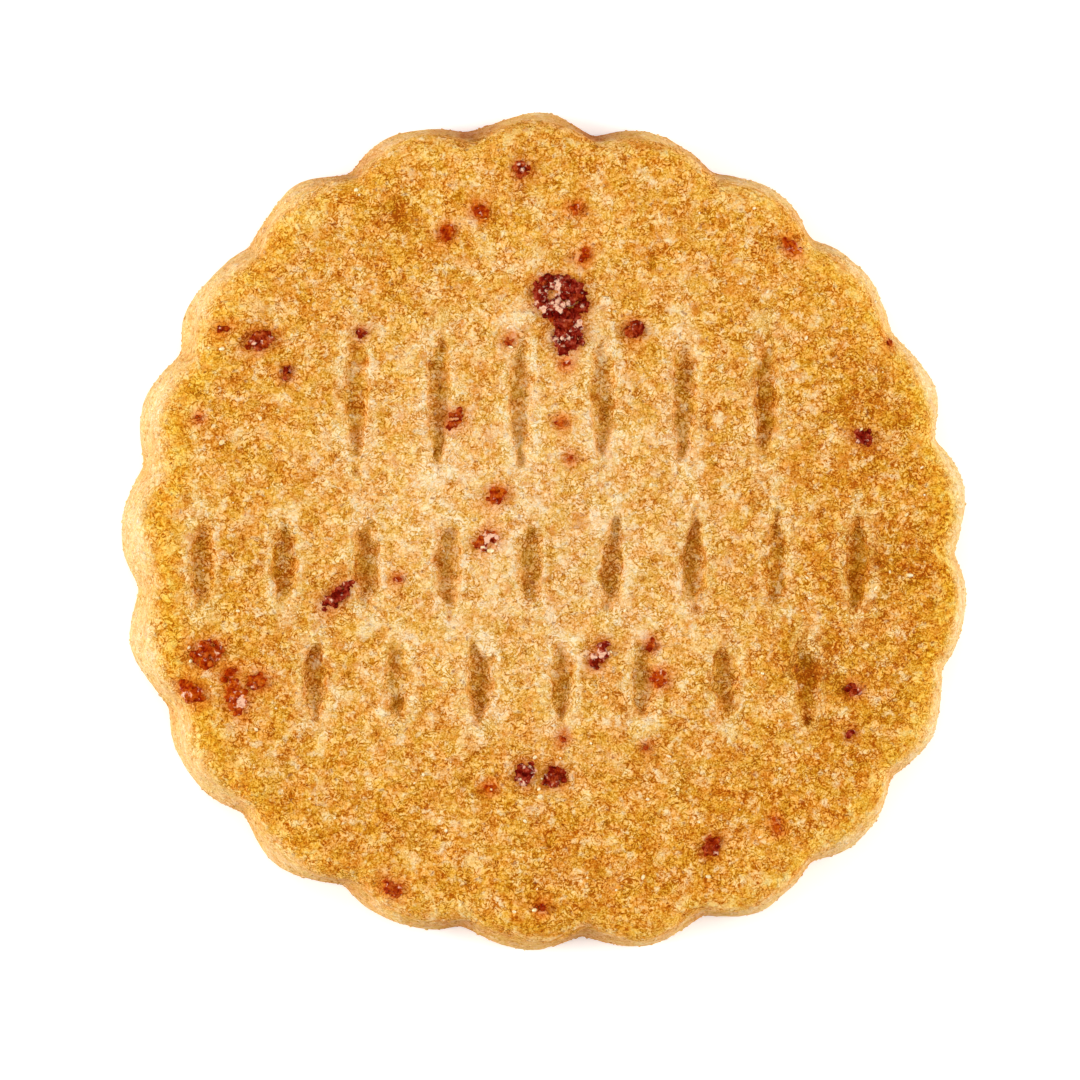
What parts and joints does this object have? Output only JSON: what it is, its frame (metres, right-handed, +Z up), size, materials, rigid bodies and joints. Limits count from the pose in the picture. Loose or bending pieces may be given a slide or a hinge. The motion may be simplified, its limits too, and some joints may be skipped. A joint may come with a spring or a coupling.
{
  "type": "shortbread biscuit",
  "caption": "Round shortbread biscuit with a fluted rim, a rounded top edge, rows of pressed docker marks and bits of dried red fruit baked in.",
  "frame": {"origin": "middle of the flat base, under the centre of the biscuit's box", "axes": "+Z up through the thickness, out of the marked top; +Y towards the side where the row of longest marks lies; +X to the right of someone who looks down at the top with +Y away from them"},
  "size_m": [0.052, 0.0516, 0.0074],
  "materials": {
    "shortbread": "matt, sandy, baked golden",
    "dried_fruit": "dull, leathery, dark red",
    "sugar": "small clear pale crystals"
  },
  "bodies": {
    "root": {"biscuit": "shortbread"}
  },
  "joints": []
}
